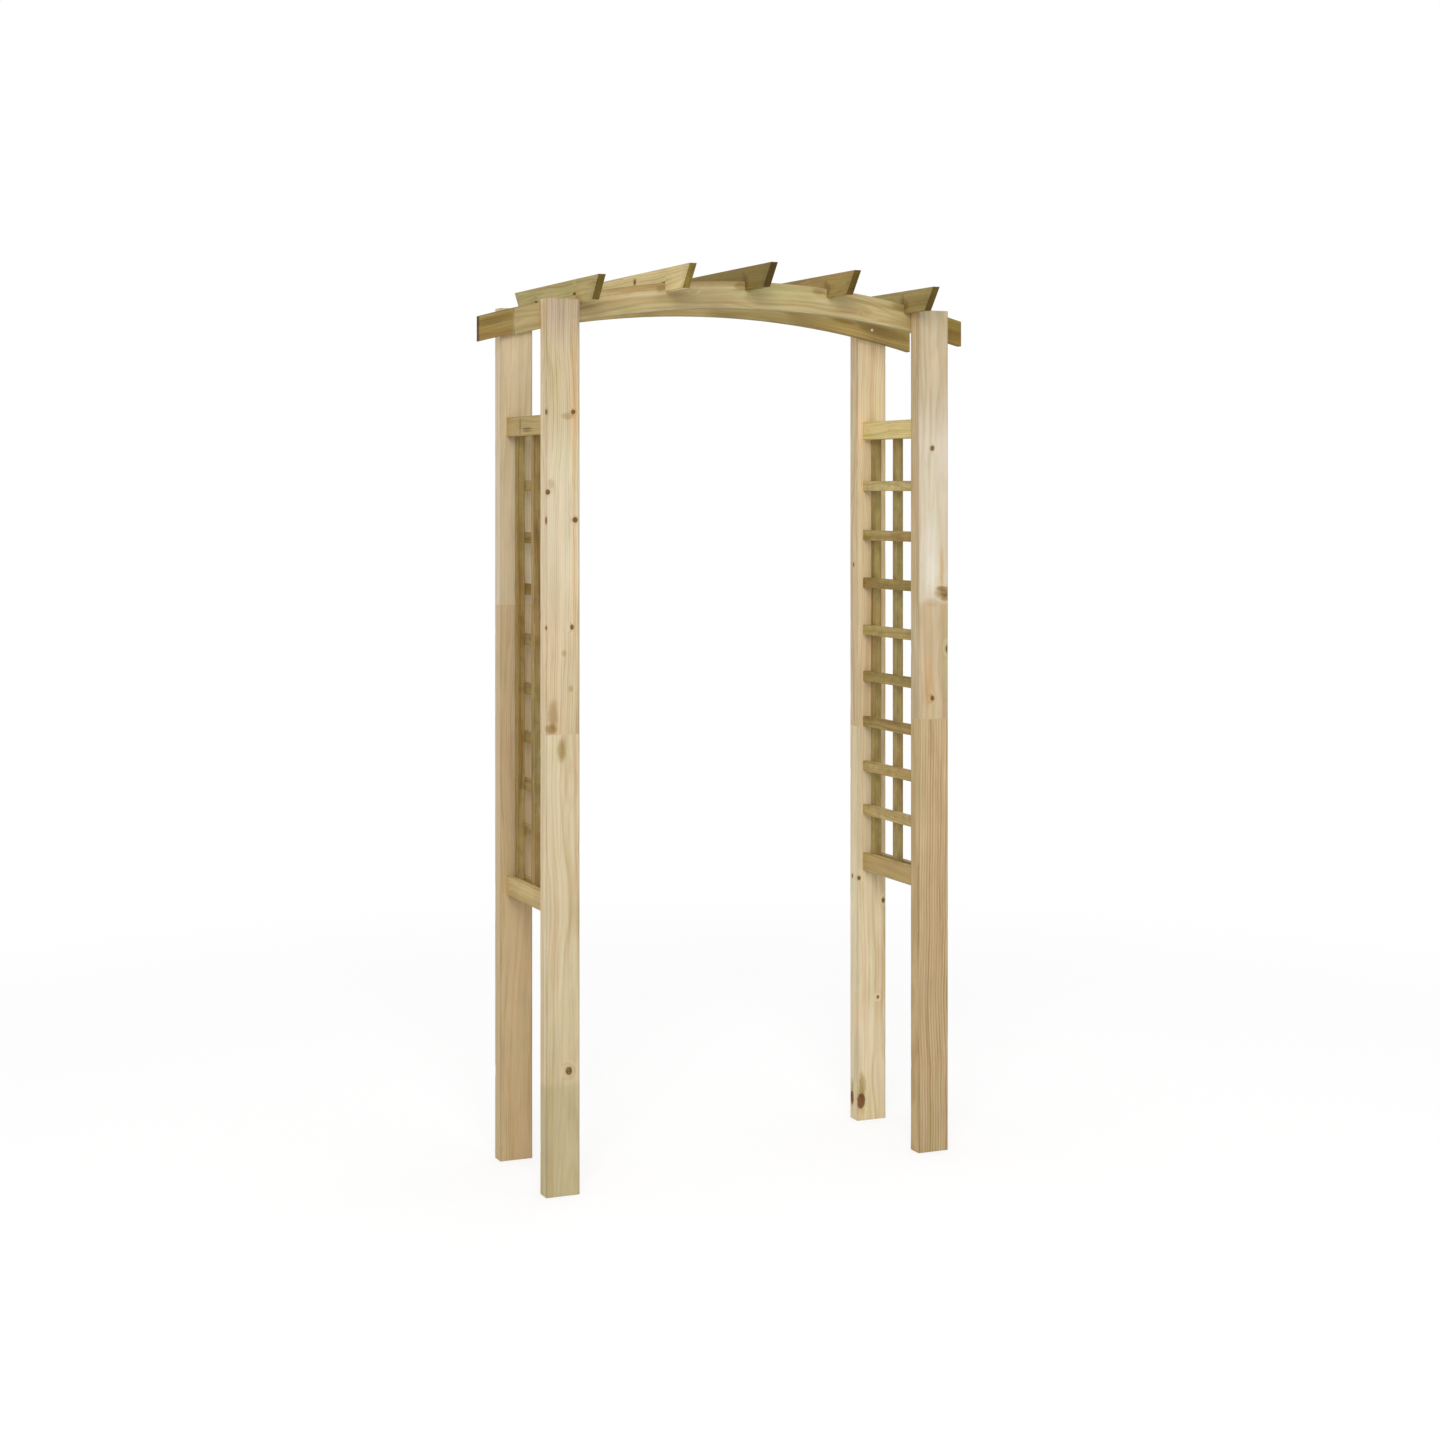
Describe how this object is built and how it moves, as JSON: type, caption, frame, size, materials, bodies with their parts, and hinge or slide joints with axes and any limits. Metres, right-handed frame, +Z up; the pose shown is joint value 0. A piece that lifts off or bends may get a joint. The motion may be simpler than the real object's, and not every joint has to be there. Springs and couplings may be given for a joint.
{
  "type": "garden trellis arch",
  "caption": "Freestanding wooden garden arch on square-cut posts, with curved beams, notched rafters with sloping ends, and open trellis panels at the sides.",
  "frame": {"origin": "on the ground, at the middle of the four post feet", "axes": "+Z up; X across the walk-through, along the arched beams; Y along the walk-through, along the rafters, with the front at -Y"},
  "size_m": [1.27, 0.65, 2.351],
  "materials": {
    "post_pine": "planed pine, pale cream with small knots",
    "beam_pine": "green-tinged pressure-treated pine",
    "rafter_pine": "olive pressure-treated pine with dark end grain",
    "lattice_pine": "sawn and treated pine bars",
    "rail_pine": "green-tinged pressure-treated pine"
  },
  "bodies": {
    "root": {"post_front_left": "post_pine", "post_front_right": "post_pine", "post_back_left": "post_pine", "post_back_right": "post_pine", "front_beam": "beam_pine", "back_beam": "beam_pine", "rafter_1": "rafter_pine", "rafter_2": "rafter_pine", "rafter_3": "rafter_pine", "rafter_4": "rafter_pine", "rafter_5": "rafter_pine", "left_lattice": "lattice_pine", "left_top_rail_inner": "rail_pine", "left_top_rail_outer": "rail_pine", "left_bottom_rail_inner": "rail_pine", "left_bottom_rail_outer": "rail_pine", "right_lattice": "lattice_pine", "right_top_rail_inner": "rail_pine", "right_top_rail_outer": "rail_pine", "right_bottom_rail_inner": "rail_pine", "right_bottom_rail_outer": "rail_pine"}
  },
  "joints": []
}
